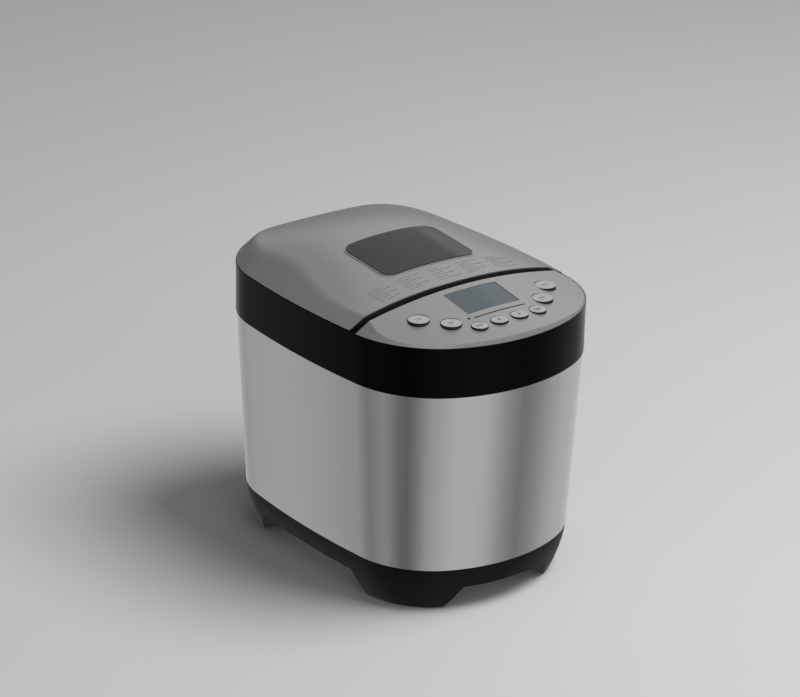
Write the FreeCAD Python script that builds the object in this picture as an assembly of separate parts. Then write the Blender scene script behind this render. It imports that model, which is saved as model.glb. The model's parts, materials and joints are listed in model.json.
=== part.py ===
import FreeCAD, Part
import math
import os
from collections import namedtuple

# Bread machine, in millimetres. +Z up, +Y towards the lid hinge at the back, -Y towards the control
# panel at the front. The origin is on the table under the middle of the body.

V = FreeCAD.Vector
UP = V(0, 0, 1)

# ---- driving dimensions -------------------------------------------------------------------------
WIDTH = 240.0
DEPTH = 324.8
FRONT_RISE = 57.2            # how far the front arc bulges past its ends
REAR_RISE = 22.8
SIDE_RISE = 16.5
FRONT_CORNER = 91.2
REAR_CORNER = 84.2
FOOT_Z = 1.2                 # underside of the moulded feet; the pads reach the table
SKIRT_Z = 22.5
BASE_TOP = 42.0
WRAP_TOP = 208.2
COLLAR_TOP = 253.8
BASE_INSET = 22.1            # plan inset of the base at the table
WRAP_INSET = 9.8             # plan inset of the wrap where it meets the base
COLLAR_STEP = 1.0            # the collar stands out past the wrap by this much
BASE_WALL = 2.6
SHEET = 0.6                  # stainless wrap
COLLAR_WALL = 3.0
SHELL = 2.4                  # lid and panel mouldings
LID_GAP = 0.5                # seam between collar and lid

CREASE_Z = 263.0             # height of the crease between the lid's facet and its crown
CREASE_HALF = 103.5
FACET_TOP = 272.0            # height where the facet surface stops, inside the crown
PANEL_RADIUS = 497.0         # crosswise radius of the panel
CROWN_POWER = 2.25           # crosswise shape of the lid's crown
GAP_FRONT = -73.5
GAP_REAR = -65.6

WINDOW_HALF = 51.0
WINDOW_FRONT = -31.5
WINDOW_REAR = 39.0
WINDOW_CORNER = 12.0
WINDOW_PROUD = 1.2
TRIM_WIDTH = 1.5
LCD_HALF = 28.4
LCD_FRONT = -115.3
LCD_REAR = -80.0
LCD_CORNER = 1.2

HINGE_Y = 150.0
HINGE_Z = 257.0
HINGE_PIN_R = 2.0
TROUGH_R = 13.0
TROUGH_HALF = 88.0
LID_INSET = 0.5              # the silver mouldings stand this far inside the collar's outline
SWEEP_DEG = 110.0

CHAMBER_Y = 34.0             # centre of the baking chamber and of the drive shaft
CHAMBER_HALF_X = 95.0
CHAMBER_HALF_Y = 86.0
CHAMBER_CORNER = 26.0
CHAMBER_SHEET = 0.8
CHAMBER_FLOOR = 62.0
DECK_TOP = 250.0
DECK_THICK = 3.0

PAN_BOTTOM = 88.0
PAN_TOP = 226.0
PAN_TOP_HALF = (84.0, 64.0)
PAN_LOW_HALF = (80.0, 60.0)
PAN_CORNER = 22.0
PAN_WALL = 1.4
BAIL_R = 2.2
BAIL_PIVOT_Z = 218.0
BAIL_HALF = 90.5
BAIL_REACH = 60.0
BAIL_GRIP_Z = 229.6

MOTOR_Y = -100.0
MOTOR_R = 33.0
SHAFT_R = 4.0
MOTOR_SHAFT_R = 3.0
BIG_PULLEY_R = 50.0
SMALL_PULLEY_R = 9.0
BELT_GAP = 0.3
BELT_THICK = 2.2
RUNNING = 0.05               # radial clearance of a shaft in its bush

BUTTON_TRAVEL_ROOM = 1.1
BUTTONS = {                  # name: (x, y, half width, half length)
    "menu_button": (-69.4, -99.4, 9.4, 9.4),
    "size_button": (-49.9, -119.3, 9.2, 9.2),
    "timer_down_button": (-10.9, -135.8, 8.0, 7.0),
    "colour_button": (-31.7, -135.1, 7.4, 7.4),
    "timer_up_button": (10.9, -135.8, 8.0, 7.0),
    "lamp_button": (31.7, -135.1, 7.4, 7.4),
    "keep_warm_button": (49.9, -119.3, 9.2, 9.2),
    "start_button": (69.4, -99.4, 9.4, 9.4),
}
BOARD_Z = 248.0
BOARD_THICK = 1.6
SWITCH_TOP = 253.1
CAP_PROUD = 1.2              # a button's cap stands this far above the panel
CAP_ROUND = 0.7
CAP_GAP = 0.35
FLANGE_WIDTH = 1.2
FLANGE_THICK = 1.2
STEM_HALF = 2.0
STRIP_HALF = 28.0
STRIP_Y = -122.2
LAMP_PLACE = (-32.0, -121.0)
LAMP_R = 1.3

FOOT_INNER_X = 57.0          # inner edges of the feet at the table
FOOT_FRONT_Y = 68.0
FOOT_REAR_Y = 90.0
FOOT_SPREAD = 13.0           # how much a foot widens on its way up to the skirt
PAD_R = 8.0
PAD_THICK = 3.0
POST_R = 4.5
SCREW_R = 1.5
HALF_SPACE = 130.0           # reaches past the body on every side
SKY = 300.0                  # reaches past the top of the crown

Plan = namedtuple("Plan", "half_x front_y rear_y front_rise rear_rise side_rise front_r rear_r")
BODY = Plan(WIDTH / 2, -DEPTH / 2, DEPTH / 2, FRONT_RISE, REAR_RISE, SIDE_RISE, FRONT_CORNER, REAR_CORNER)
# the facet runs from the body outline up to this smaller one
FACET = Plan(87.0, -159.0, 148.4, 26.8, 12.0, 9.0, 62.0, 52.0)


# ---- plan outlines ------------------------------------------------------------------------------
def arc_radius(half, rise):
    return (half * half + rise * rise) / (2 * rise)


def circles_meet(a, ra, b, rb, towards_y):
    """The crossing of two circles that lies furthest towards +X and the given side in Y."""
    gap = b - a
    d = gap.Length
    along = (ra * ra - rb * rb + d * d) / (2 * d)
    across = math.sqrt(max(ra * ra - along * along, 0.0))
    unit = gap * (1 / d)
    side = V(-unit.y, unit.x, 0)
    points = [a + unit * along + side * across, a + unit * along - side * across]
    return max(points, key=lambda p: p.y * towards_y + 0.5 * p.x)


def mirrored(p):
    return V(-p.x, p.y, p.z)


def unit_from(a, b):
    return (b - a).normalize()


def arc_about(centre, radius, start, end):
    """Short arc between two directions from a centre."""
    middle = (start + end).normalize()
    return Part.Arc(centre + start * radius, centre + middle * radius, centre + end * radius).toShape()


def plan_wire(plan, z, off=0.0):
    """Closed outline of eight tangent arcs at height z, moved outwards by off."""
    middle_y = (plan.front_y + plan.rear_y) / 2
    half_y = (plan.rear_y - plan.front_y) / 2
    r_front = arc_radius(plan.half_x, plan.front_rise)
    r_rear = arc_radius(plan.half_x, plan.rear_rise)
    r_side = arc_radius(half_y, plan.side_rise)
    front = V(0, plan.front_y + r_front, z)
    rear = V(0, plan.rear_y - r_rear, z)
    side = V(plan.half_x - r_side, middle_y, z)
    corner_f = circles_meet(front, r_front - plan.front_r, side, r_side - plan.front_r, -1)
    corner_r = circles_meet(rear, r_rear - plan.rear_r, side, r_side - plan.rear_r, 1)
    d_front = unit_from(front, corner_f)
    d_side_f = unit_from(side, corner_f)
    d_side_r = unit_from(side, corner_r)
    d_rear = unit_from(rear, corner_r)
    edges = [arc_about(front, r_front + off, mirrored(d_front), d_front),
             arc_about(corner_f, plan.front_r + off, d_front, d_side_f),
             arc_about(side, r_side + off, d_side_f, d_side_r),
             arc_about(corner_r, plan.rear_r + off, d_side_r, d_rear),
             arc_about(rear, r_rear + off, d_rear, mirrored(d_rear)),
             arc_about(mirrored(corner_r), plan.rear_r + off, mirrored(d_rear), mirrored(d_side_r)),
             arc_about(mirrored(side), r_side + off, mirrored(d_side_r), mirrored(d_side_f)),
             arc_about(mirrored(corner_f), plan.front_r + off, mirrored(d_side_f), mirrored(d_front))]
    return Part.Wire(edges)


def prism(wire, height):
    return Part.Face(wire).extrude(UP * height)


def plan_prism(z0, z1, off=0.0, plan=BODY):
    return prism(plan_wire(plan, z0, off), z1 - z0)


def plan_tube(z0, z1, off, wall):
    return plan_prism(z0, z1, off).cut(plan_prism(z0 - 1, z1 + 1, off - wall))


def rounded_rect(half_x, half_y, corner, z, y=0.0, x=0.0):
    """Closed wire of a rectangle with round corners, centred on (x, y)."""
    edges = []
    for k, (sx, sy) in enumerate([(1, -1), (1, 1), (-1, 1), (-1, -1)]):
        centre = V(x + sx * (half_x - corner), y + sy * (half_y - corner), z)
        first = V(sx, 0, 0) if k % 2 else V(0, sy, 0)
        second = V(0, sy, 0) if k % 2 else V(sx, 0, 0)
        edges.append((centre, first, second))
    wire = []
    for k, (centre, first, second) in enumerate(edges):
        wire.append(arc_about(centre, corner, first, second))
        next_centre, next_first, _ = edges[(k + 1) % 4]
        wire.append(Part.LineSegment(centre + second * corner, next_centre + next_first * corner).toShape())
    return Part.Wire(wire)


def rect_prism(half_x, half_y, corner, z0, z1, y=0.0, x=0.0):
    return prism(rounded_rect(half_x, half_y, corner, z0, y, x), z1 - z0)


def box(x0, x1, y0, y1, z0, z1):
    return Part.makeBox(x1 - x0, y1 - y0, z1 - z0, V(x0, y0, z0))


def across(y0, y1, z0, z1):
    """Box wider than the body, for keeping or cutting away one stretch of it."""
    return box(-HALF_SPACE, HALF_SPACE, y0, y1, z0, z1)


def rod(x, y, z0, z1, r):
    return Part.makeCylinder(r, z1 - z0, V(x, y, z0), UP)


def ring(x, y, z0, z1, r_out, r_in):
    return rod(x, y, z0, z1, r_out).cut(rod(x, y, z0 - 1, z1 + 1, r_in))


def cross_rod(x0, x1, y, z, r):
    return Part.makeCylinder(r, x1 - x0, V(x0, y, z), V(1, 0, 0))


def fused(shapes):
    whole = shapes[0].multiFuse(shapes[1:]) if len(shapes) > 1 else shapes[0]
    return whole.removeSplitter()


def bent_rod(points, bend, r):
    """Round rod along straight runs joined by tangent arcs."""
    edges = []
    start = points[0]
    for before, corner, after in zip(points, points[1:], points[2:]):
        a = unit_from(corner, before)
        b = unit_from(corner, after)
        half_angle = a.getAngle(b) / 2
        back = bend / math.tan(half_angle)
        centre = corner + (a + b).normalize() * (bend / math.sin(half_angle))
        arc_in = corner + a * back
        arc_out = corner + b * back
        on_arc = centre + unit_from(centre, corner) * bend
        edges.append(Part.LineSegment(start, arc_in).toShape())
        edges.append(Part.Arc(arc_in, on_arc, arc_out).toShape())
        start = arc_out
    edges.append(Part.LineSegment(start, points[-1]).toShape())
    section = Part.Wire(Part.makeCircle(r, points[0], unit_from(points[0], points[1])))
    return Part.Wire(edges).makePipeShell([section], True, False)


# ---- crown of the lid and the panel ---------------------------------------------------------------
def crest_line():
    """Height of the crown along the centre line, front to back."""
    knots = [(-175, 256.9), (-120, 265.2), (-70, 273.2), (-20, 278.9), (30, 283.7), (72, 284.2),
             (112, 277.2), (148, 265.6), (175, 253.0)]
    curve = Part.BSplineCurve()
    curve.interpolate([V(0, y, z) for y, z in knots])
    return curve


CREST = crest_line()


def crest_height(y):
    cut = Part.LineSegment(V(0, y, 200), V(0, y, 330))
    return CREST.intersect(cut)[0].Z


def panel_height(x, y):
    return crest_height(y) - x * x / (2 * PANEL_RADIUS)


def lid_height(x, y):
    rise = crest_height(y) - CREASE_Z
    return crest_height(y) - max(rise, 4.0) * (abs(x) / CREASE_HALF) ** CROWN_POWER


def under_surface(height, y0, y1):
    """Solid below a height function, over a rectangle larger than the body."""
    rows = 15
    columns = 17
    half = 124.0
    grid = []
    for i in range(rows):
        y = y0 + (y1 - y0) * i / (rows - 1)
        line = []
        for j in range(columns):
            x = -half + 2 * half * j / (columns - 1)
            line.append(V(x, y, height(x, y)))
        grid.append(line)
    surface = Part.BSplineSurface()
    surface.interpolate(grid)
    top = surface.toShape()
    return top.extrude(V(0, 0, -70))


def facet_body():
    """The sloping facet all round, carried on as a straight wall inside the crown."""
    slope = Part.makeLoft([plan_wire(BODY, COLLAR_TOP, -LID_INSET), plan_wire(FACET, FACET_TOP)], True, True)
    return slope.fuse(plan_prism(FACET_TOP, 300.0, 0.0, FACET))


FACETS = facet_body()
LID_CROWN = under_surface(lid_height, GAP_REAR - 12, 172.0)
PANEL_CROWN = under_surface(panel_height, -172.0, GAP_FRONT + 12)


def moved(shape, dz):
    copy = shape.copy()
    copy.translate(V(0, 0, dz))
    return copy


def crown_shell(crown, y0, y1, z0):
    """Outer solid of a crown moulding and its hollow."""
    outer = FACETS.common(crown).common(across(y0, y1, z0, 300))
    hollow = moved(FACETS, -SHELL - 0.4).common(moved(crown, -SHELL))
    hollow = hollow.common(plan_prism(z0 - 5, 300, -SHELL))
    inner_y0 = y0 + SHELL if y0 > -150 else y0
    inner_y1 = y1 - SHELL if y1 < 150 else y1
    hollow = hollow.common(across(inner_y0, inner_y1, z0 - 5, 300))
    return outer, hollow


def inlay(crown, wire_z0, top, thick):
    """Plate that follows the crown: its top face is that far above it."""
    return wire_z0.common(moved(crown, top)).cut(moved(crown, top - thick))


# ---- housing --------------------------------------------------------------------------------------
def wrap_inset(z):
    share = (z - BASE_TOP) / (WRAP_TOP - BASE_TOP)
    return WRAP_INSET + (COLLAR_STEP - WRAP_INSET) * share


def base_inset(z):
    return WRAP_INSET + (BASE_INSET - WRAP_INSET) * max(1 - z / BASE_TOP, 0.0) ** 1.6


def base_loft(extra, z0, z1):
    steps = 4
    levels = [z0 + (z1 - z0) * k / steps for k in range(steps + 1)]
    return Part.makeLoft([plan_wire(BODY, z, -base_inset(z) - extra) for z in levels], True, False)


def foot_wedge(side, rear, shrink, z0):
    """Block that widens upwards; the base moulding inside it is a foot."""
    low, high = z0, SKIRT_Z + 2.0
    spread = FOOT_SPREAD * (high - low) / high
    near = (FOOT_REAR_Y if rear else FOOT_FRONT_Y) + shrink
    inner = FOOT_INNER_X + shrink
    wires = []
    for z, grow in ((low, 0.0), (high, spread)):
        ya = near - grow
        yb = 170.0
        xa = inner - grow
        xb = 135.0
        sy = 1 if rear else -1
        corners = [V(side * xa, sy * ya, z), V(side * xb, sy * ya, z),
                   V(side * xb, sy * yb, z), V(side * xa, sy * yb, z)]
        wires.append(Part.makePolygon(corners + corners[:1]))
    return Part.makeLoft(wires, True, True)


CORNERS = [(-1, False), (1, False), (1, True), (-1, True)]
PAD_PLACES = [(sx * 72.0, 106.0 if rear else -98.0) for sx, rear in CORNERS]
POST_PLACES = [(-66.0, -40.0), (66.0, -40.0), (-66.0, 104.0), (66.0, 104.0)]
COVER_Z = 26.0
COVER_THICK = 1.2
CHASSIS_Z = 50.4
CHASSIS_THICK = 1.5
BUSH_PLACE = (30.0, 34.5)


def base_shell():
    outer = base_loft(0.0, FOOT_Z, BASE_TOP)
    skirt = outer.common(across(-170, 170, SKIRT_Z, BASE_TOP))
    skirt = skirt.cut(base_loft(BASE_WALL, FOOT_Z - 0.5, BASE_TOP + 0.01))
    ledge = plan_tube(COVER_Z - 1.4, COVER_Z, -base_inset(COVER_Z) - 1.0, 9.0)
    lip = plan_tube(BASE_TOP - 4, BASE_TOP + 8, -WRAP_INSET - SHEET - 0.25, 2.0)
    pieces = [skirt, ledge, lip]
    for side, rear in CORNERS:
        foot = outer.common(foot_wedge(side, rear, 0.0, FOOT_Z))
        hollow = base_loft(BASE_WALL, FOOT_Z + 3.4, BASE_TOP)
        hollow = hollow.common(foot_wedge(side, rear, BASE_WALL, FOOT_Z + 3.4))
        pieces.append(foot.cut(hollow))
    shell = fused(pieces)
    for side, rear in CORNERS:
        hollow = foot_wedge(side, rear, 12.0, FOOT_Z + 3.4).common(base_loft(10.0, FOOT_Z + 3.4, BASE_TOP))
        shell = shell.cut(hollow.common(across(-170, 170, SKIRT_Z - 1, COVER_Z + 0.5)))
    for x, y in PAD_PLACES:
        shell = shell.cut(rod(x, y, 0.0, PAD_THICK, PAD_R))
    hole = Part.makeCylinder(5.6, 30, V(BUSH_PLACE[0], 125, BUSH_PLACE[1]), V(0, 1, 0))
    return shell.cut(hole)


def foot_pads():
    pads = []
    for x, y in PAD_PLACES:
        pad = rod(x, y, 0.0, PAD_THICK, PAD_R)
        pads.append(pad.makeChamfer(0.5, [pad.Edges[2]]))
    return Part.makeCompound(pads)


def screw_up(x, y, z_seat, length):
    """Pan-head screw from below: head under z_seat, shank above it."""
    head = rod(x, y, z_seat - 1.8, z_seat, 3.4)
    slot = box(x - 2.2, x + 2.2, y - 0.4, y + 0.4, z_seat - 2, z_seat - 1)
    shank = rod(x, y, z_seat, z_seat + length, SCREW_R)
    return head.cut(slot).fuse(shank)


def bottom_cover():
    plate = plan_prism(COVER_Z, COVER_Z + COVER_THICK, -base_inset(COVER_Z) - BASE_WALL - 1.0)
    for k in range(9):
        x = -48 + 12 * k
        for y in (-118.0, 108.0):
            plate = plate.cut(rect_prism(1.8, 15.0, 1.7, COVER_Z - 1, COVER_Z + 3, y, x))
    for x, y in POST_PLACES:
        plate = plate.cut(rod(x, y, COVER_Z - 1, COVER_Z + 3, SCREW_R + 0.1))
    return plate


def case_screws():
    return Part.makeCompound([screw_up(x, y, COVER_Z, 9.0) for x, y in POST_PLACES])


def cord_bush():
    x, z = BUSH_PLACE
    body = Part.makeCylinder(5.5, 11, V(x, 141.5, z), V(0, 1, 0))
    flange = Part.makeCylinder(7.0, 3, V(x, 140.5, z), V(0, 1, 0))
    bore = Part.makeCylinder(3.6, 40, V(x, 120, z), V(0, 1, 0))
    return body.fuse(flange).cut(bore)


def steel_wrap():
    outer = Part.makeLoft([plan_wire(BODY, z, -wrap_inset(z)) for z in (BASE_TOP, WRAP_TOP)], True, True)
    inner = Part.makeLoft([plan_wire(BODY, z, -wrap_inset(z) - SHEET) for z in (BASE_TOP - 1, WRAP_TOP + 1)],
                          True, True)
    return outer.cut(inner)


def upper_collar():
    wall = plan_prism(WRAP_TOP, COLLAR_TOP)
    rim = wall.makeChamfer(0.8, [e for e in wall.Edges if e.BoundBox.ZMax < WRAP_TOP + 0.01])
    wall = rim.cut(plan_prism(WRAP_TOP - 1, COLLAR_TOP + 1, -COLLAR_WALL))
    lip = plan_tube(WRAP_TOP - 8, WRAP_TOP + 4, -COLLAR_STEP - SHEET - 0.75, 2.4)
    deck = plan_prism(DECK_TOP - DECK_THICK, DECK_TOP, -1.5)
    deck = deck.common(across(GAP_FRONT + 0.6, 170, 200, 260))
    trough = cross_rod(-TROUGH_HALF, TROUGH_HALF, HINGE_Y, HINGE_Z, TROUGH_R + 2.5)
    trough = trough.common(plan_prism(DECK_TOP - 12, DECK_TOP, -1.0))
    collar = fused([wall, lip, deck, trough]).cut(lid_edge_sweep())
    collar = collar.cut(rect_prism(CHAMBER_HALF_X, CHAMBER_HALF_Y, CHAMBER_CORNER,
                                   DECK_TOP - 10, DECK_TOP + 1, CHAMBER_Y))
    arms = []
    for side in (-1, 1):
        for a, b in ((11.5, 16.5), (27.5, 32.5)):
            arms.append(hinge_arm(min(side * a, side * b), max(side * a, side * b)))
    collar = fused([collar] + arms)
    return collar.cut(cross_rod(-40, 40, HINGE_Y, HINGE_Z, HINGE_PIN_R))


def lid_edge_sweep():
    """Space that the lid's rear edge needs as it swings down behind the pins."""
    region = Part.Face(plan_wire(BODY, COLLAR_TOP + LID_GAP / 2, -0.2))
    region = region.common(across(HINGE_Y, 170, 250, 258))
    return region.revolve(V(0, HINGE_Y, HINGE_Z), V(-1, 0, 0), SWEEP_DEG)


def hinge_arm(x0, x1):
    """Arm from the deck in front of the trough back to the pin."""
    eye = cross_rod(x0, x1, HINGE_Y, HINGE_Z, 4.0)
    outline = [V(x0, 125, DECK_TOP - 2), V(x0, 125, DECK_TOP + 4), V(x0, HINGE_Y, HINGE_Z + 4),
               V(x0, HINGE_Y, HINGE_Z - 4), V(x0, 139, DECK_TOP - 2)]
    web = Part.Face(Part.makePolygon(outline + outline[:1])).extrude(V(x1 - x0, 0, 0))
    return eye.fuse(web)


def gap_trim():
    bar = plan_prism(DECK_TOP, 290, -3.6).common(across(GAP_FRONT + 0.6, GAP_REAR - 0.8, 240, 290))
    return bar.common(moved(FACETS, -4.0)).common(moved(PANEL_CROWN, -4.0))


# ---- control panel ----------------------------------------------------------------------------------
def button_outline(name, z, grow):
    x, y, half_x, half_y = BUTTONS[name]
    corner = min(half_x, half_y) + grow - 0.01
    return rounded_rect(half_x + grow, half_y + grow, corner, z, y, x)


def lowest_under(x, y, reach):
    places = [(x + sx * reach, y + sy * reach) for sx in (-1, 1) for sy in (-1, 1)]
    return min(panel_height(px, py) for px, py in places)


def control_panel():
    outer, hollow = crown_shell(PANEL_CROWN, -170, GAP_FRONT, COLLAR_TOP)
    shell = outer.cut(hollow)
    for name in BUTTONS:
        shell = shell.cut(prism(button_outline(name, 245, CAP_GAP), 50))
    return shell.cut(lcd_prism()).cut(strip_prism()).cut(lamp_prism())


def strip_prism():
    return rect_prism(STRIP_HALF, 0.6, 0.55, 245, SKY, STRIP_Y)


def lamp_prism():
    return rod(*LAMP_PLACE, 245, SKY, LAMP_R)


def lcd_prism():
    return rect_prism(LCD_HALF, (LCD_REAR - LCD_FRONT) / 2, LCD_CORNER, 245, SKY, (LCD_REAR + LCD_FRONT) / 2)


def lcd_lens():
    return inlay(PANEL_CROWN, lcd_prism(), -0.5, 1.4)


def lcd_module():
    module = box(-33, 33, -119.0, -77.0, BOARD_Z + BOARD_THICK, 261.0)
    return module.cut(box(-27, 27, -114, -82, 260.2, 262))


def control_board():
    board = plan_prism(BOARD_Z, BOARD_Z + BOARD_THICK, -8.0).common(box(-92, 92, -150, -77, 240, 260))
    for x in (-82, 82):
        board = board.cut(rod(x, -84, 240, 260, 1.6))
    return board


def tact_switches():
    switches = []
    for x, y, _, _ in BUTTONS.values():
        body = box(x - 3, x + 3, y - 3, y + 3, BOARD_Z + BOARD_THICK, SWITCH_TOP - 1.0)
        switches.append(body.fuse(rod(x, y, SWITCH_TOP - 1.0, SWITCH_TOP, 1.7)))
    return Part.makeCompound(switches)


def button(name):
    """Cap with a flange under the panel and a stem down to its switch."""
    x, y, half_x, half_y = BUTTONS[name]
    top = panel_height(x, y) + CAP_PROUD
    flange_top = lowest_under(x, y, 0.75 * (max(half_x, half_y) + FLANGE_WIDTH)) - SHELL - 0.9
    cap = prism(button_outline(name, flange_top - 1.0, 0.0), top - flange_top + 1.0)
    rim = [e for e in cap.Edges if e.BoundBox.ZMin > top - 0.01]
    cap = cap.makeFillet(CAP_ROUND, rim)
    flange = prism(button_outline(name, flange_top - FLANGE_THICK, FLANGE_WIDTH), FLANGE_THICK)
    stem = box(x - STEM_HALF, x + STEM_HALF, y - STEM_HALF, y + STEM_HALF,
               SWITCH_TOP + BUTTON_TRAVEL_ROOM, flange_top - 0.5)
    return fused([cap, flange, stem])


# ---- lid --------------------------------------------------------------------------------------------
LID_BOTTOM = COLLAR_TOP + LID_GAP
WINDOW_Y = (WINDOW_FRONT + WINDOW_REAR) / 2
WINDOW_HALF_Y = (WINDOW_REAR - WINDOW_FRONT) / 2
PLUG_HALF = (88.0, 79.0)
PLUG_Z = 244.0
LINER_Z = 253.2
INNER_WINDOW_HALF = (50.0, 34.0)


def window_prism(grow):
    return rect_prism(WINDOW_HALF + grow, WINDOW_HALF_Y + grow, WINDOW_CORNER + grow, 245, 300, WINDOW_Y)


def lid_parts():
    outer, hollow = crown_shell(LID_CROWN, GAP_REAR, 170, LID_BOTTOM)
    shell = outer.cut(hollow).cut(window_prism(0.0))
    return shell, hollow


LID_SHELL, LID_HOLLOW = lid_parts()


def lid_window():
    step = window_prism(-TRIM_WIDTH)
    return inlay(LID_CROWN, step, WINDOW_PROUD, 3.0)


def window_trim():
    band = window_prism(0.0).cut(window_prism(-TRIM_WIDTH))
    return inlay(LID_CROWN, band, 0.7, 3.6)


def lid_liner():
    """Inner cover of the lid: a flat rim and a shallow tray that reaches into the chamber."""
    rim = plan_prism(LINER_Z, LINER_Z + 1.0, -6.5)
    rim = rim.common(across(GAP_REAR + 1.5, 122.5, 240, 260))
    tray = rect_prism(PLUG_HALF[0], PLUG_HALF[1], 22.0, PLUG_Z, LINER_Z + 1.0, CHAMBER_Y)
    hollow = rect_prism(PLUG_HALF[0] - 1.5, PLUG_HALF[1] - 1.5, 20.5, PLUG_Z + 1.5, LINER_Z + 2.0, CHAMBER_Y)
    liner = rim.fuse(tray).cut(hollow)
    return liner.cut(rect_prism(INNER_WINDOW_HALF[0] - 5, INNER_WINDOW_HALF[1] - 5, 8.0, 240, 250, 12.0))


def inner_window():
    return rect_prism(INNER_WINDOW_HALF[0], INNER_WINDOW_HALF[1], 10.0, PLUG_Z + 1.5, PLUG_Z + 4.5, 12.0)


def lid_seal():
    outer = rect_prism(100.0, 91.0, 30.0, DECK_TOP + 0.3, LINER_Z, CHAMBER_Y)
    outer = outer.common(across(-60, 122.0, 240, 260))
    return outer.cut(rect_prism(96.5, 85.5, 27.0, DECK_TOP - 1, LINER_Z + 1, CHAMBER_Y))


def hinge_knuckles():
    knuckles = []
    for side in (-1, 1):
        x0, x1 = sorted((side * 17.2, side * 26.8))
        eye = cross_rod(x0, x1, HINGE_Y, HINGE_Z, 4.0)
        web = box(x0, x1, HINGE_Y - 9, HINGE_Y + 2, HINGE_Z, 280)
        knuckle = eye.fuse(web).common(LID_HOLLOW)
        knuckles.append(knuckle.cut(cross_rod(-40, 40, HINGE_Y, HINGE_Z, HINGE_PIN_R + RUNNING)))
    return Part.makeCompound(knuckles)


def hinge_pins():
    pins = []
    for side in (-1, 1):
        x0, x1 = sorted((side * 11.0, side * 33.0))
        pins.append(cross_rod(x0, x1, HINGE_Y, HINGE_Z, HINGE_PIN_R))
    return Part.makeCompound(pins)


# ---- baking chamber -------------------------------------------------------------------------------
ELEMENT_Z = 79.0
ELEMENT_R = 3.2
LEAD_X = 17.0
HOUSING_R = 9.0
SEAT_TOP = 65.0


def chamber_liner():
    outer = rect_prism(CHAMBER_HALF_X + CHAMBER_SHEET, CHAMBER_HALF_Y + CHAMBER_SHEET,
                       CHAMBER_CORNER + CHAMBER_SHEET, CHAMBER_FLOOR, DECK_TOP - DECK_THICK, CHAMBER_Y)
    flange = rect_prism(CHAMBER_HALF_X + 5, CHAMBER_HALF_Y + 4, CHAMBER_CORNER + 4,
                        DECK_TOP - DECK_THICK - 1.0, DECK_TOP - DECK_THICK, CHAMBER_Y)
    flange = flange.common(across(-100, 133, 200, 260))
    liner = outer.fuse(flange)
    liner = liner.cut(rect_prism(CHAMBER_HALF_X, CHAMBER_HALF_Y, CHAMBER_CORNER,
                                 CHAMBER_FLOOR + CHAMBER_SHEET, DECK_TOP, CHAMBER_Y))
    liner = liner.cut(cross_rod(-TROUGH_HALF - 3, TROUGH_HALF + 3, HINGE_Y, HINGE_Z, TROUGH_R + 2.8))
    liner = liner.cut(rod(0, CHAMBER_Y, 55, 66, HOUSING_R + 0.2))
    for side in (-1, 1):
        liner = liner.cut(lead_bore(side, 5.0))
    return liner.cut(Part.makeCylinder(3.0, 20, V(50, -60, 112), V(0, 1, 0)))


def lead_bore(side, r):
    return Part.makeCylinder(r, 20, V(side * LEAD_X, CHAMBER_Y - CHAMBER_HALF_Y - 12, ELEMENT_Z), V(0, 1, 0))


def heating_element():
    front = CHAMBER_Y - CHAMBER_HALF_Y
    half_x = 72.0
    y0, y1 = CHAMBER_Y - 54.0, CHAMBER_Y + 54.0
    points = [V(-LEAD_X, front - 12, ELEMENT_Z), V(-LEAD_X, y0, ELEMENT_Z), V(-half_x, y0, ELEMENT_Z),
              V(-half_x, y1, ELEMENT_Z), V(half_x, y1, ELEMENT_Z), V(half_x, y0, ELEMENT_Z),
              V(LEAD_X, y0, ELEMENT_Z), V(LEAD_X, front - 12, ELEMENT_Z)]
    return bent_rod(points, 12.0, ELEMENT_R)


def element_bushes():
    front = CHAMBER_Y - CHAMBER_HALF_Y
    bushes = []
    for side in (-1, 1):
        x = side * LEAD_X
        body = Part.makeCylinder(5.0, 9, V(x, front - 7, ELEMENT_Z), V(0, 1, 0))
        collar = Part.makeCylinder(7.0, 3, V(x, front - 4.0, ELEMENT_Z), V(0, 1, 0))
        bore = Part.makeCylinder(ELEMENT_R, 30, V(x, front - 15, ELEMENT_Z), V(0, 1, 0))
        bushes.append(body.fuse(collar.cut(box(-90, 90, front - CHAMBER_SHEET, 0, 60, 100))).cut(bore))
    return Part.makeCompound(bushes)


def element_clips():
    clips = []
    for side in (-1, 1):
        x = side * 72.0
        post = box(x - 1, x + 1, CHAMBER_Y - 5, CHAMBER_Y + 5, CHAMBER_FLOOR + CHAMBER_SHEET, ELEMENT_Z)
        hoop = Part.makeCylinder(ELEMENT_R + 1.0, 10, V(x, CHAMBER_Y - 5, ELEMENT_Z), V(0, 1, 0))
        bore = Part.makeCylinder(ELEMENT_R, 12, V(x, CHAMBER_Y - 6, ELEMENT_Z), V(0, 1, 0))
        clips.append(post.fuse(hoop).cut(bore))
    return Part.makeCompound(clips)


def temperature_sensor():
    front = CHAMBER_Y - CHAMBER_HALF_Y
    probe = Part.makeCylinder(3.0, 20, V(50, front - 8, 112), V(0, 1, 0))
    nut = Part.makeCylinder(6.0, 2.4, V(50, front - CHAMBER_SHEET - 2.4, 112), V(0, 1, 0))
    tip = Part.makeCylinder(4.6, 1.5, V(50, front + 10.5, 112), V(0, 1, 0))
    return probe.fuse(nut).fuse(tip)


def heat_shield():
    front = CHAMBER_Y - CHAMBER_HALF_Y
    shield = box(-96, 96, front - 7.6, front - 7.0, 62, 236)
    for side in (-1, 1):
        shield = shield.cut(lead_bore(side, 5.4))
    return shield.cut(Part.makeCylinder(3.4, 30, V(50, front - 20, 112), V(0, 1, 0)))


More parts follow.
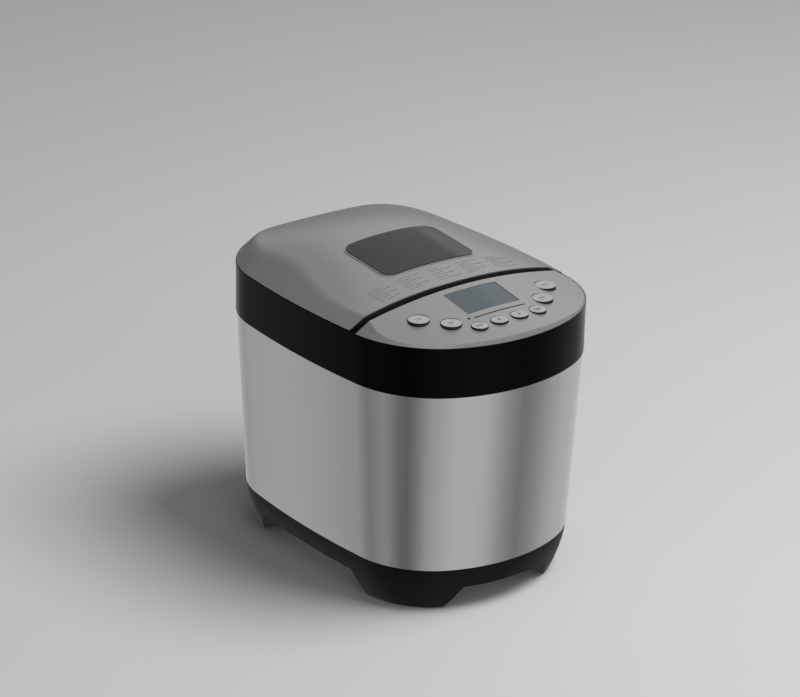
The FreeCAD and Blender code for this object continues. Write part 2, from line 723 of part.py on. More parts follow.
def pan_seat():
    """Ring on the chamber floor with two spring clips that hold the pan's base ring."""
    seat = ring(0, CHAMBER_Y, CHAMBER_FLOOR + CHAMBER_SHEET, SEAT_TOP, 52.0, 26.0)
    pieces = [seat]
    for side in (-1, 1):
        x0, x1 = sorted((side * 47.4, side * 48.4))
        blade = box(x0, x1, CHAMBER_Y - 9, CHAMBER_Y + 9, SEAT_TOP - 0.5, 75.0)
        pieces.append(blade)
    return fused(pieces)


def chassis():
    plate = plan_prism(CHASSIS_Z, CHASSIS_Z + CHASSIS_THICK, -14.5)
    plate = plate.common(box(-78, 78, -140, 120, 40, 60))
    posts = [rod(x, y, COVER_Z + COVER_THICK, CHASSIS_Z + 0.5, POST_R) for x, y in POST_PLACES]
    frame = fused([plate] + posts)
    for x, y in POST_PLACES:
        frame = frame.cut(rod(x, y, 20, 36, SCREW_R))
    frame = frame.cut(rod(0, CHAMBER_Y, 40, 60, HOUSING_R + 0.2))
    return frame.cut(rod(0, MOTOR_Y, 40, 60, 8.0))


# ---- drive ------------------------------------------------------------------------------------------
def shaft_housing():
    flange = rod(0, CHAMBER_Y, CHASSIS_Z + CHASSIS_THICK, CHASSIS_Z + CHASSIS_THICK + 2.6, 22.0)
    tube = rod(0, CHAMBER_Y, CHASSIS_Z, SEAT_TOP, HOUSING_R)
    return flange.fuse(tube).cut(rod(0, CHAMBER_Y, 40, 70, 6.5))


def bearing_bushes():
    return Part.makeCompound([ring(0, CHAMBER_Y, z, z + 5.5, 6.5, SHAFT_R + RUNNING)
                              for z in (CHASSIS_Z, SEAT_TOP - 5.5)])


def drive_shaft():
    return rod(0, CHAMBER_Y, 31.0, 69.0, SHAFT_R)


def drive_coupler():
    disc = ring(0, CHAMBER_Y, SEAT_TOP + 0.6, 69.5, 15.0, SHAFT_R)
    pieces = [disc]
    for side in (-1, 1):
        x0, x1 = sorted((side * 5.0, side * 12.0))
        y0, y1 = sorted((side * 3.4, side * 8.4))
        pieces.append(box(x0, x1, CHAMBER_Y + y0, CHAMBER_Y + y1, 69.0, 76.0))
    return fused(pieces)


def pulley(y, groove_r, bore_r, z0=33.0, z1=45.0):
    """Flanged belt pulley."""
    flange = groove_r + BELT_GAP + BELT_THICK + 1.0
    core = rod(0, y, z0, z1, groove_r)
    rims = [rod(0, y, z0, z0 + 1.4, flange), rod(0, y, z1 - 1.4, z1, flange)]
    return fused([core] + rims).cut(rod(0, y, z0 - 1, z1 + 1, bore_r))


def large_pulley():
    wheel = pulley(CHAMBER_Y, BIG_PULLEY_R, SHAFT_R)
    for k in range(6):
        angle = math.radians(60 * k)
        x, y = 29 * math.cos(angle), 29 * math.sin(angle)
        wheel = wheel.cut(rod(x, CHAMBER_Y + y, 30, 50, 9.5))
    return wheel


def motor_pulley():
    return pulley(MOTOR_Y, SMALL_PULLEY_R, MOTOR_SHAFT_R)


def belt_loop(extra, z):
    """Closed wire round both pulleys."""
    big = BIG_PULLEY_R + BELT_GAP + extra
    small = SMALL_PULLEY_R + BELT_GAP + extra
    reach = CHAMBER_Y - MOTOR_Y
    ny = (small - big) / reach
    nx = math.sqrt(1 - ny * ny)
    a = V(0, CHAMBER_Y, z)
    b = V(0, MOTOR_Y, z)
    right = V(nx, ny, 0)
    left = V(-nx, ny, 0)
    return Part.Wire([Part.Arc(a + right * big, a + V(0, big, 0), a + left * big).toShape(),
                      Part.LineSegment(a + left * big, b + left * small).toShape(),
                      Part.Arc(b + left * small, b - V(0, small, 0), b + right * small).toShape(),
                      Part.LineSegment(b + right * small, a + right * big).toShape()])


def drive_belt():
    return prism(belt_loop(BELT_THICK, 35.2), 7.6).cut(prism(belt_loop(0.0, 34.0), 10.0))


def motor():
    z0 = CHASSIS_Z + CHASSIS_THICK
    can = rod(0, MOTOR_Y, z0 + 4.0, z0 + 76.0, MOTOR_R)
    can = can.makeFillet(3.0, [can.Edges[0], can.Edges[2]])
    spigot = rod(0, MOTOR_Y, z0, z0 + 4.5, 12.0)
    cap = rod(0, MOTOR_Y, z0 + 75.5, z0 + 80.0, 10.0)
    return fused([can, spigot, cap]).cut(rod(0, MOTOR_Y, z0 - 1, z0 + 50, MOTOR_SHAFT_R + RUNNING))


def motor_shaft():
    return rod(0, MOTOR_Y, 31.0, 98.0, MOTOR_SHAFT_R)


def motor_bracket():
    """Flat strap that clamps the motor to the chassis on two spacers."""
    z0 = CHASSIS_Z + CHASSIS_THICK
    strap = rect_prism(46.0, 12.0, 6.0, z0 + 80.0, z0 + 82.0, MOTOR_Y)
    spacers = [rod(x, MOTOR_Y, z0, z0 + 80.5, 3.5) for x in (-39.0, 39.0)]
    return fused([strap] + spacers)


def motor_capacitor():
    can = rod(-62.0, -90.0, 52.0 - 0.1, 104.0, 15.0)
    return can.makeFillet(2.0, [can.Edges[0]])


def power_board():
    board = box(60.0, 61.6, -118.0, -64.0, 62.0, 172.0)
    relay = box(61.6, 74.0, -100.0, -84.0, 120.0, 142.0)
    choke = Part.makeCylinder(9.0, 12.0, V(61.6, -88.0, 92.0), V(1, 0, 0))
    foot = box(58.0, 66.0, -118.0, -64.0, CHASSIS_Z + CHASSIS_THICK, 62.5)
    return fused([board, relay, choke, foot])


# ---- pan ----------------------------------------------------------------------------------------------
RING_R = 46.4
PAN_BOSS_R = 9.0
EAR_X = 87.0


def pan_loft(shrink, z0, z1):
    share0 = (z0 - PAN_BOTTOM) / (PAN_TOP - PAN_BOTTOM)
    share1 = (z1 - PAN_BOTTOM) / (PAN_TOP - PAN_BOTTOM)
    wires = []
    for z, share in ((z0, share0), (z1, share1)):
        half_x = PAN_LOW_HALF[0] + (PAN_TOP_HALF[0] - PAN_LOW_HALF[0]) * share - shrink
        half_y = PAN_LOW_HALF[1] + (PAN_TOP_HALF[1] - PAN_LOW_HALF[1]) * share - shrink
        wires.append(rounded_rect(half_x, half_y, PAN_CORNER - shrink, z, CHAMBER_Y))
    return Part.makeLoft(wires, True, True)


def bread_pan():
    outer = pan_loft(0.0, PAN_BOTTOM, PAN_TOP)
    lip = rect_prism(PAN_TOP_HALF[0] + 2.5, PAN_TOP_HALF[1] + 2.5, PAN_CORNER + 2.5,
                     PAN_TOP - 1.6, PAN_TOP, CHAMBER_Y)
    pan = outer.fuse(lip).cut(pan_loft(PAN_WALL, PAN_BOTTOM + PAN_WALL, PAN_TOP + 1))
    return pan.cut(rod(0, CHAMBER_Y, 80, 95, PAN_BOSS_R))


def pan_base_ring():
    return ring(0, CHAMBER_Y, SEAT_TOP + 0.2, PAN_BOTTOM, RING_R, RING_R - 2.0)


def pan_shaft_seal():
    sleeve = rod(0, CHAMBER_Y, PAN_BOTTOM - 5, PAN_BOTTOM + 3.4, PAN_BOSS_R)
    flange = rod(0, CHAMBER_Y, PAN_BOTTOM - 2.4, PAN_BOTTOM, 14.0)
    return fused([sleeve, flange]).cut(rod(0, CHAMBER_Y, 70, 100, SHAFT_R + RUNNING))


def pan_shaft():
    shaft = rod(0, CHAMBER_Y, 71.0, 112.0, SHAFT_R)
    wing = box(-12.5, 12.5, CHAMBER_Y - 3.0, CHAMBER_Y + 3.0, 71.0, 77.0)
    return fused([shaft, wing])


def kneading_paddle():
    hub = rod(0, CHAMBER_Y, PAN_BOTTOM + 4.2, 117.0, 9.0)
    hub = hub.makeFillet(1.5, [e for e in hub.Edges if e.BoundBox.ZMin > 116.9])
    outline = [V(4, 0, 94), V(46, 0, 94), V(48, 0, 97), V(40, 0, 110), V(24, 0, 121), V(4, 0, 114)]
    blade = Part.Face(Part.makePolygon(outline + outline[:1])).extrude(V(0, 4.0, 0))
    blade.translate(V(0, CHAMBER_Y - 2.0, 0))
    rim = [e for e in blade.Edges if e.BoundBox.XMax > 30 and e.BoundBox.YLength < 0.1]
    blade = blade.makeFillet(1.6, rim)
    paddle = hub.fuse(blade)
    return paddle.cut(rod(0, CHAMBER_Y, 80, 113.0, SHAFT_R + RUNNING))


def handle_ears():
    ears = []
    for side in (-1, 1):
        x0, x1 = sorted((side * 80.0, side * EAR_X))
        ear = box(x0, x1, CHAMBER_Y - 7, CHAMBER_Y + 7, 208.0, PAN_TOP - 1.6)
        ear = ear.cut(pan_loft(0.0, PAN_BOTTOM, PAN_TOP))
        ears.append(ear.cut(cross_rod(-100, 100, CHAMBER_Y, BAIL_PIVOT_Z, BAIL_R + RUNNING)))
    return Part.makeCompound(ears)


def pan_handle():
    points = []
    for side in (-1, 1):
        inner = V(side * 84.6, CHAMBER_Y, BAIL_PIVOT_Z)
        elbow = V(side * BAIL_HALF, CHAMBER_Y, BAIL_PIVOT_Z)
        corner = V(side * BAIL_HALF, CHAMBER_Y - BAIL_REACH, BAIL_GRIP_Z)
        run = [inner, elbow, corner]
        points += run if side < 0 else run[::-1]
    return bent_rod(points, 3.2, BAIL_R)


NODES = {
    "base_shell": base_shell,
    "bottom_cover": bottom_cover,
    "foot_pads": foot_pads,
    "case_screws": case_screws,
    "cord_bush": cord_bush,
    "steel_wrap": steel_wrap,
    "upper_collar": upper_collar,
    "gap_trim": gap_trim,
    "control_panel": control_panel,
    "lcd_lens": lcd_lens,
    "lcd_module": lcd_module,
    "indicator_strip": lambda: inlay(PANEL_CROWN, strip_prism(), 0.15, 2.4),
    "indicator_lamp": lambda: inlay(PANEL_CROWN, lamp_prism(), 0.3, 4.0),
    "control_board": control_board,
    "tact_switches": tact_switches,
    "buzzer": lambda: ring(0, -134.0, BOARD_Z - 6, BOARD_Z, 7.0, 1.2),
    "lid_shell": lambda: LID_SHELL,
    "lid_window": lid_window,
    "window_trim": window_trim,
    "lid_liner": lid_liner,
    "inner_window": inner_window,
    "lid_seal": lid_seal,
    "hinge_knuckles": hinge_knuckles,
    "hinge_pins": hinge_pins,
    "chamber_liner": chamber_liner,
    "heat_shield": heat_shield,
    "heating_element": heating_element,
    "element_bushes": element_bushes,
    "element_clips": element_clips,
    "temperature_sensor": temperature_sensor,
    "pan_seat": pan_seat,
    "chassis": chassis,
    "shaft_housing": shaft_housing,
    "bearing_bushes": bearing_bushes,
    "drive_shaft": drive_shaft,
    "drive_coupler": drive_coupler,
    "large_pulley": large_pulley,
    "drive_belt": drive_belt,
    "motor": motor,
    "motor_shaft": motor_shaft,
    "motor_pulley": motor_pulley,
    "motor_bracket": motor_bracket,
    "motor_capacitor": motor_capacitor,
    "power_board": power_board,
    "bread_pan": bread_pan,
    "pan_base_ring": pan_base_ring,
    "pan_shaft_seal": pan_shaft_seal,
    "pan_shaft": pan_shaft,
    "kneading_paddle": kneading_paddle,
    "handle_ears": handle_ears,
    "pan_handle": pan_handle,
}
for button_name in BUTTONS:
    NODES[button_name] = lambda name=button_name: button(name)


def main():
    os.makedirs("parts", exist_ok=True)
    for name, make in NODES.items():
        shape = make()
        sound = shape.isValid() and all(s.isValid() for s in shape.Solids)
        print(f"{name:20s} solids {len(shape.Solids)} volume {shape.Volume:10.0f} valid {sound}")
        shape.exportStep(f"parts/{name}.step")


main()
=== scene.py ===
"""Bread machine: visual pieces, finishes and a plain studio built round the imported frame."""

import json
import math
from functools import cache

import bmesh
import bpy
from mathutils import Matrix, Vector


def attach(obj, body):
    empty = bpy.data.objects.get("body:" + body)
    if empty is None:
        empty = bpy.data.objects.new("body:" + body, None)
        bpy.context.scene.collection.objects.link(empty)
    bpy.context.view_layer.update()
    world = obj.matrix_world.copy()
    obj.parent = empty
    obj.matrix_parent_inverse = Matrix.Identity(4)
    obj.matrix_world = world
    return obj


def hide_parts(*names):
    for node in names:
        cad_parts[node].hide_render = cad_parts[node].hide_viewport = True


bl_info = {
    "name": "Bread machine",
    "version": (1, 0, 0),
    "blender": (4, 5, 0),
    "location": "3D View > Sidebar > Bread machine",
    "description": "Builds the visual pieces of a bread machine around its frame",
    "category": "Object",
}

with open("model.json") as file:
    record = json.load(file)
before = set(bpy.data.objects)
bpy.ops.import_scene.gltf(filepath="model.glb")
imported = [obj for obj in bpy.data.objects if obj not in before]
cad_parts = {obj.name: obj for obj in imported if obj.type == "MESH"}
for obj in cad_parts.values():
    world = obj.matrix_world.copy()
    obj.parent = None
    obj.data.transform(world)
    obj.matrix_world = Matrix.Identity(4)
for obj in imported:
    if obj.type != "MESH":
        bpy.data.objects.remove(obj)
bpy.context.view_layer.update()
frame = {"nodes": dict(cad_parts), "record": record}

BODY_OF = {node: body for body, nodes in frame["record"]["behaviour"]["bodies"].items() for node in nodes}
SLOT_OF = {part["node"]: part["material_slot"] for part in frame["record"]["subparts"]}

# ---- the machine's dimensions, in metres ------------------------------------------------------------
BODY_PLAN = {"half_x": 0.120, "front": -0.1624, "rear": 0.1624, "front_rise": 0.0572, "rear_rise": 0.0228,
             "side_rise": 0.0165, "front_r": 0.0912, "rear_r": 0.0842}
FACET_PLAN = {"half_x": 0.087, "front": -0.159, "rear": 0.1484, "front_rise": 0.0268, "rear_rise": 0.012,
              "side_rise": 0.009, "front_r": 0.062, "rear_r": 0.052}
ARC_STEPS = (22, 18, 20, 16)            # front, front corner, side, rear corner; the rear takes the front's
FACET_TOP = 0.272
LID_BOTTOM = 0.2543
LAND_HEIGHT = 0.0007
LAND_INSET = 0.0005
FACET_SLOPE = 0.55
LIP = 0.0010                    # silver lip at the gap, above the front wall that is painted black as shade
SHELL = 0.0022
WINDOW_EDGE = 0.003              # depth of the lid's edge round the window
CREASE_Z = 0.263
CREASE_HALF = 0.1035
CROWN_POWER = 2.25
EAVES_SLOPE = 0.29
PANEL_RADIUS = 0.497
GAP_REAR = -0.0656
CREST = ((-0.175, 0.2569), (-0.120, 0.2652), (-0.070, 0.2732), (-0.020, 0.2789), (0.030, 0.2837),
         (0.072, 0.2842), (0.112, 0.2772), (0.148, 0.2656), (0.175, 0.2530))
WINDOW_HALF = Vector((0.051, 0.03525))
WINDOW_Y = 0.00375
WINDOW_CORNER = 0.012
PRINT_BLOCKS = (-0.078, -0.046, -0.014, 0.018, 0.050)
PRINT_ROWS = 6
PRINT_TOP = -0.0385
PRINT_STEP = 0.0038
PRINT_HALF = 0.00045
PRINT_LIFT = 0.00006
CAP_PROUD = 0.0012
STROKE_SHORT = 0.0042            # the programme strokes come in four lengths
STROKE_MORE = 0.0013
STROKE_GAP = 0.0012
ARROW_RADIUS = 0.0021
MARK_STROKES = ((0, 0.0010, 0.0036), (-0.0006, -0.0012, 0.0028))     # offset in x and y, half length
MARK_HALF = 0.00042
BUTTONS = {                      # the middle of each cap, seen from above
    "menu_button": (-0.0694, -0.0994),
    "size_button": (-0.0499, -0.1193),
    "colour_button": (-0.0317, -0.1351),
    "timer_down_button": (-0.0109, -0.1358),
    "timer_up_button": (0.0109, -0.1358),
    "lamp_button": (0.0317, -0.1351),
    "keep_warm_button": (0.0499, -0.1193),
    "start_button": (0.0694, -0.0994),
}


# ---- settings a user may change ---------------------------------------------------------------------
class BreadMachineSizes(bpy.types.PropertyGroup):
    crease_near: bpy.props.FloatProperty(
        name="Crease at the gap", description="Width over which facet and crown blend near the gap",
        default=0.0006, unit="LENGTH")
    crease_far: bpy.props.FloatProperty(
        name="Crease at the hinge", description="Width over which facet and crown blend near the hinge",
        default=0.0026, unit="LENGTH")


class BreadMachineColours(bpy.types.PropertyGroup):
    paint: bpy.props.FloatVectorProperty(
        name="Silver paint", description="Colour of the lid, the panel and the buttons",
        default=(0.55, 0.553, 0.545), subtype="COLOR", min=0, max=1)
    steel: bpy.props.FloatVectorProperty(
        name="Steel", description="Tint of the stainless wrap",
        default=(0.64, 0.645, 0.65), subtype="COLOR", min=0, max=1)
    collar: bpy.props.FloatVectorProperty(
        name="Collar", description="Colour of the gloss black collar",
        default=(0.0012, 0.0012, 0.0014), subtype="COLOR", min=0, max=1)
    base: bpy.props.FloatVectorProperty(
        name="Base", description="Colour of the satin black base",
        default=(0.0040, 0.0040, 0.0042), subtype="COLOR", min=0, max=1)
    screen: bpy.props.FloatVectorProperty(
        name="Screen", description="Colour of the blank display",
        default=(0.085, 0.106, 0.115), subtype="COLOR", min=0, max=1)
    floor: bpy.props.FloatVectorProperty(
        name="Floor", description="Colour of the studio floor",
        default=(0.60, 0.60, 0.595), subtype="COLOR", min=0, max=1)


# ---- shader nodes -------------------------------------------------------------------------------------
class Value:
    """A node's output that takes part in arithmetic; each operator adds one Math node."""

    def __init__(self, nodes, socket):
        self.nodes = nodes
        self.socket = socket

    def math(self, operation, *others):
        return self.nodes.node("ShaderNodeMath", {"operation": operation}, dict(enumerate((self, *others))))

    def clamped(self):
        return self.nodes.node("ShaderNodeClamp", {}, {"Value": self})

    def __add__(self, other):
        return self.math("ADD", other)

    def __mul__(self, other):
        return self.math("MULTIPLY", other)

    def __sub__(self, other):
        return self.math("SUBTRACT", other)

    def __truediv__(self, other):
        return self.math("DIVIDE", other)

    def __rsub__(self, other):
        return self.nodes.node("ShaderNodeMath", {"operation": "SUBTRACT"}, {0: other, 1: self})

    __radd__ = __add__
    __rmul__ = __mul__


class Nodes:
    """Adds nodes to one tree."""

    def __init__(self, tree):
        self.tree = tree
        tree.nodes.clear()

    def node(self, kind, settings=None, inputs=None, output=0):
        made = self.tree.nodes.new(kind)
        for name, setting in (settings or {}).items():
            if name == "stops":
                self.set_stops(made.color_ramp, setting)
            else:
                setattr(made, name, setting)
        for name, value in (inputs or {}).items():
            if isinstance(value, Value):
                self.tree.links.new(value.socket, made.inputs[name])
            else:
                made.inputs[name].default_value = value
        return Value(self, made.outputs[output]) if made.outputs else made

    def set_stops(self, ramp, stops):
        while len(ramp.elements) < len(stops):
            ramp.elements.new(0.5)
        for element, (place, colour) in zip(ramp.elements, sorted(stops)):
            element.position = place
            element.color = colour if len(colour) == 4 else (*colour, 1)

    def ramp(self, value, *stops):
        return self.node("ShaderNodeValToRGB", {"stops": stops}, {0: value})

    def mix(self, factor, a, b):
        settings = {"data_type": "RGBA"}
        inputs = {0: factor, 6: rgba(a), 7: rgba(b)}
        return self.node("ShaderNodeMix", settings, inputs, output=2)

    def place(self, scale=(1, 1, 1)):
        """Object coordinates, scaled."""
        spot = self.node("ShaderNodeTexCoord", output=3)
        return self.node("ShaderNodeMapping", {}, {"Vector": spot, "Scale": scale})

    def noise(self, where, scale, detail=2.0, rough=0.5):
        return self.node("ShaderNodeTexNoise", {},
                         {"Vector": where, "Scale": scale, "Detail": detail, "Roughness": rough})

    def speckle(self, where, scale):
        return self.node("ShaderNodeTexVoronoi", {}, {"Vector": where, "Scale": scale})

    def bump(self, height, strength, distance):
        return self.node("ShaderNodeBump", {}, {"Height": height, "Strength": strength, "Distance": distance})

    def close(self, **sockets):
        """Ends the tree with a principled surface; an underscore in a name stands for a space."""
        inputs = {name.replace("_", " "): value for name, value in sockets.items()}
        surface = self.node("ShaderNodeBsdfPrincipled", {}, inputs)
        self.node("ShaderNodeOutputMaterial", {}, {"Surface": surface})


def rgba(colour):
    return colour if isinstance(colour, Value) else (*tuple(colour)[:3], 1)


def scaled(colour, factor):
    return tuple(min(channel * factor, 1.0) for channel in colour)


def new_finish(name):
    material = bpy.data.materials.new(name)
    material.use_nodes = True
    return material, Nodes(material.node_tree)


def colours():
    return bpy.context.scene.bread_machine_colours


def sizes():
    return bpy.context.scene.bread_machine_sizes


# ---- finishes -----------------------------------------------------------------------------------------
@cache
def brushed_steel():
    """Stainless sheet with a fine grain that runs round the body."""
    material, n = new_finish("Brushed steel")
    grain = n.noise(n.place(scale=(30, 30, 7000)), 1.0, 3.0, 0.6)
    cloud = n.noise(n.place(), 14.0)
    tint = colours().steel
    worn = n.mix(grain, scaled(tint, 0.94), scaled(tint, 1.05))
    n.close(Base_Color=n.mix(cloud * 0.4, worn, scaled(tint, 0.97)), Metallic=1.0,
            Roughness=0.17 + grain * 0.05 + cloud * 0.03, Normal=n.bump(grain, 0.10, 0.00002))
    return material


@cache
def silver_paint():
    """Metallic silver paint with fine flakes under a thin lacquer."""
    material, n = new_finish("Silver paint")
    flakes = n.speckle(n.place(), 2600.0)
    cloud = n.noise(n.place(), 9.0)
    tint = colours().paint
    base = n.mix(flakes, scaled(tint, 1.06), scaled(tint, 0.93))
    n.close(Base_Color=n.mix(cloud * 0.5, base, scaled(tint, 0.97)), Metallic=0.72,
            Roughness=0.33 + cloud * 0.05 + flakes * 0.03, Normal=n.bump(flakes, 0.05, 0.00001),
            Coat_Weight=0.12, Coat_Roughness=0.2)
    return material


@cache
def button_paint():
    """The lid's silver on small caps, rubbed a little brighter on top."""
    material, n = new_finish("Button paint")
    flakes = n.speckle(n.place(), 2900.0)
    rub = n.noise(n.place(), 160.0)
    tint = colours().paint
    base = n.mix(flakes, scaled(tint, 1.12), scaled(tint, 1.0))
    n.close(Base_Color=n.mix(rub * 0.4, base, scaled(tint, 1.18)), Metallic=0.5,
            Roughness=0.42 + rub * 0.08, Normal=n.bump(flakes, 0.05, 0.00001))
    return material


@cache
def gloss_black():
    """Polished black moulding with a faint flow pattern."""
    material, n = new_finish("Gloss black")
    flow = n.noise(n.place(scale=(1, 1, 0.4)), 60.0, 3.0)
    tint = colours().collar
    n.close(Base_Color=n.mix(flow, tint, scaled(tint, 1.7)), Roughness=0.16 + flow * 0.06,
            Specular_IOR_Level=0.06, Normal=n.bump(flow, 0.03, 0.00004))
    return material


@cache
def satin_black():
    """Black moulding with a spark-eroded grain."""
    material, n = new_finish("Satin black")
    pits = n.noise(n.place(), 2400.0, 2.0, 0.7)
    cloud = n.noise(n.place(), 30.0)
    tint = colours().base
    n.close(Base_Color=n.mix(pits, tint, scaled(tint, 1.6)), Roughness=0.36 + pits * 0.16 + cloud * 0.05,
            Specular_IOR_Level=0.14, Normal=n.bump(pits, 0.18, 0.00004))
    return material


@cache
def black_moulding():
    material, n = new_finish("Plain black moulding")
    pits = n.noise(n.place(), 1500.0, 2.0)
    n.close(Base_Color=n.mix(pits, (0.012, 0.012, 0.013), (0.022, 0.022, 0.023)),
            Roughness=0.45 + pits * 0.15, Normal=n.bump(pits, 0.15, 0.00004))
    return material


@cache
def smoked_glass():
    """Tempered window with a dark tint, a little uneven in depth."""
    material, n = new_finish("Smoked glass")
    cloud = n.noise(n.place(), 12.0)
    n.close(Base_Color=n.mix(cloud, (0.028, 0.028, 0.031), (0.036, 0.036, 0.039)),
            Roughness=0.012 + cloud * 0.006,
            IOR=1.52, Alpha=0.90 + cloud * 0.06)
    return material


@cache
def inner_glass():
    material, n = new_finish("Inner glass")
    film = n.noise(n.place(), 40.0, 3.0)
    n.close(Base_Color=n.mix(film, (0.30, 0.31, 0.31), (0.36, 0.36, 0.35)), Roughness=0.04 + film * 0.05,
            IOR=1.5, Alpha=0.16 + film * 0.08)
    return material


@cache
def bright_trim():
    material, n = new_finish("Bright trim")
    grain = n.noise(n.place(scale=(1, 1, 3)), 900.0)
    n.close(Base_Color=n.mix(grain, (0.62, 0.62, 0.63), (0.70, 0.70, 0.70)), Metallic=1.0,
            Roughness=0.14 + grain * 0.08, Normal=n.bump(grain, 0.05, 0.00002))
    return material


@cache
def screen_glass():
    """Blank display behind a clear lens; a faint dot grid shows through."""
    material, n = new_finish("Blank display")
    grid = n.place(scale=(2200, 2200, 2200))
    parts = n.node("ShaderNodeSeparateXYZ", {}, {0: grid})
    lines = parts.math("PINGPONG", 1.0)
    cloud = n.noise(n.place(), 25.0)
    tint = colours().screen
    base = n.mix(lines * 0.25, tint, scaled(tint, 0.86))
    n.close(Base_Color=n.mix(cloud * 0.4, base, scaled(tint, 1.08)),
            Roughness=0.012 + cloud * 0.008, IOR=1.42)
    return material


@cache
def dark_print():
    material, n = new_finish("Grey print")
    ink = n.noise(n.place(), 1800.0)
    n.close(Base_Color=n.mix(ink, (0.10, 0.10, 0.105), (0.17, 0.17, 0.175)), Roughness=0.55 + ink * 0.1)
    return material


@cache
def pale_print():
    material, n = new_finish("Pale print")
    ink = n.noise(n.place(), 1800.0)
    n.close(Base_Color=n.mix(ink, (0.13, 0.13, 0.135), (0.19, 0.19, 0.19)), Roughness=0.5 + ink * 0.1)
    return material


@cache
def pad_rubber():
    material, n = new_finish("Pad rubber")
    dust = n.noise(n.place(), 700.0, 4.0, 0.65)
    n.close(Base_Color=n.mix(dust, (0.016, 0.016, 0.016), (0.040, 0.039, 0.038)),
            Roughness=0.72 + dust * 0.18, Normal=n.bump(dust, 0.25, 0.00006))
    return material


@cache
def silicone():
    material, n = new_finish("Seal silicone")
    dust = n.noise(n.place(), 500.0, 3.0)
    n.close(Base_Color=n.mix(dust, (0.30, 0.30, 0.29), (0.38, 0.375, 0.36)), Roughness=0.5 + dust * 0.2,
            Normal=n.bump(dust, 0.12, 0.00005))
    return material


@cache
def circuit_board():
    """Green laminate with lighter tracks."""
    material, n = new_finish("Circuit board")
    cells = n.node("ShaderNodeTexBrick", {}, {"Vector": n.place(), "Scale": 90.0}, output=1)
    weave = n.noise(n.place(), 900.0)
    base = n.mix(weave, (0.010, 0.075, 0.030), (0.016, 0.105, 0.045))
    n.close(Base_Color=n.mix(cells, base, (0.05, 0.20, 0.08)), Roughness=0.38 + weave * 0.15,
            Normal=n.bump(cells, 0.2, 0.00004))
    return material


@cache
def plated_sheet():
    """Bright plated steel sheet with a rolled grain and faint heat haze."""
    material, n = new_finish("Plated sheet")
    rolled = n.noise(n.place(scale=(25, 900, 25)), 1.0, 3.0)
    haze = n.noise(n.place(), 16.0, 3.0)
    base = n.mix(rolled, (0.46, 0.465, 0.47), (0.56, 0.56, 0.56))
    n.close(Base_Color=n.mix(haze * 0.5, base, (0.44, 0.42, 0.39)), Metallic=1.0,
            Roughness=0.30 + rolled * 0.08 + haze * 0.08, Normal=n.bump(rolled, 0.10, 0.00003))
    return material


@cache
def machine_steel():
    material, n = new_finish("Turned steel")
    turned = n.noise(n.place(scale=(40, 40, 2500)), 1.0, 2.0)
    n.close(Base_Color=n.mix(turned, (0.48, 0.48, 0.49), (0.62, 0.62, 0.62)), Metallic=1.0,
            Roughness=0.20 + turned * 0.12, Normal=n.bump(turned, 0.12, 0.00002))
    return material


@cache
def heater_tube():
    """Sheathed heater, browned by heat."""
    material, n = new_finish("Heater sheath")
    scale_film = n.noise(n.place(), 70.0, 4.0, 0.6)
    n.close(Base_Color=n.mix(scale_film, (0.055, 0.050, 0.045), (0.14, 0.11, 0.085)), Metallic=0.8,
            Roughness=0.42 + scale_film * 0.2, Normal=n.bump(scale_film, 0.15, 0.00005))
    return material


@cache
def ceramic():
    material, n = new_finish("Ceramic")
    grain = n.noise(n.place(), 1200.0, 3.0)
    n.close(Base_Color=n.mix(grain, (0.62, 0.59, 0.53), (0.72, 0.70, 0.65)), Roughness=0.55 + grain * 0.2,
            Normal=n.bump(grain, 0.2, 0.00004))
    return material


@cache
def bronze():
    material, n = new_finish("Sintered bronze")
    pores = n.noise(n.place(), 2500.0, 3.0, 0.7)
    n.close(Base_Color=n.mix(pores, (0.36, 0.20, 0.09), (0.50, 0.31, 0.15)), Metallic=0.9,
            Roughness=0.40 + pores * 0.2, Normal=n.bump(pores, 0.3, 0.00004))
    return material


@cache
def cast_alloy():
    material, n = new_finish("Cast alloy")
    sand = n.noise(n.place(), 1300.0, 4.0, 0.65)
    n.close(Base_Color=n.mix(sand, (0.36, 0.365, 0.37), (0.50, 0.50, 0.50)), Metallic=0.95,
            Roughness=0.40 + sand * 0.2, Normal=n.bump(sand, 0.35, 0.00006))
    return material


@cache
def nylon():
    material, n = new_finish("Nylon")
    cloud = n.noise(n.place(), 220.0, 3.0)
    n.close(Base_Color=n.mix(cloud, (0.022, 0.022, 0.024), (0.042, 0.042, 0.044)),
            Roughness=0.40 + cloud * 0.15, Normal=n.bump(cloud, 0.08, 0.00004))
    return material


@cache
def motor_case():
    material, n = new_finish("Motor case")
    grain = n.noise(n.place(scale=(1, 1, 6)), 260.0, 3.0)
    n.close(Base_Color=n.mix(grain, (0.30, 0.305, 0.31), (0.42, 0.42, 0.42)), Metallic=0.9,
            Roughness=0.34 + grain * 0.16, Normal=n.bump(grain, 0.15, 0.00004))
    return material


@cache
def nonstick():
    """Dark fluoropolymer coating with fine pale specks."""
    material, n = new_finish("Non-stick coating")
    cells = n.speckle(n.place(), 620.0)
    specks = (1.0 - cells * 5.0).clamped()
    cloud = n.noise(n.place(), 30.0, 3.0)
    base = n.mix(cloud, (0.028, 0.028, 0.029), (0.043, 0.042, 0.041))
    n.close(Base_Color=n.mix(specks * 0.5, base, (0.13, 0.13, 0.13)), Roughness=0.30 + cloud * 0.14,
            Normal=n.bump(cells, 0.06, 0.00004))
    return material


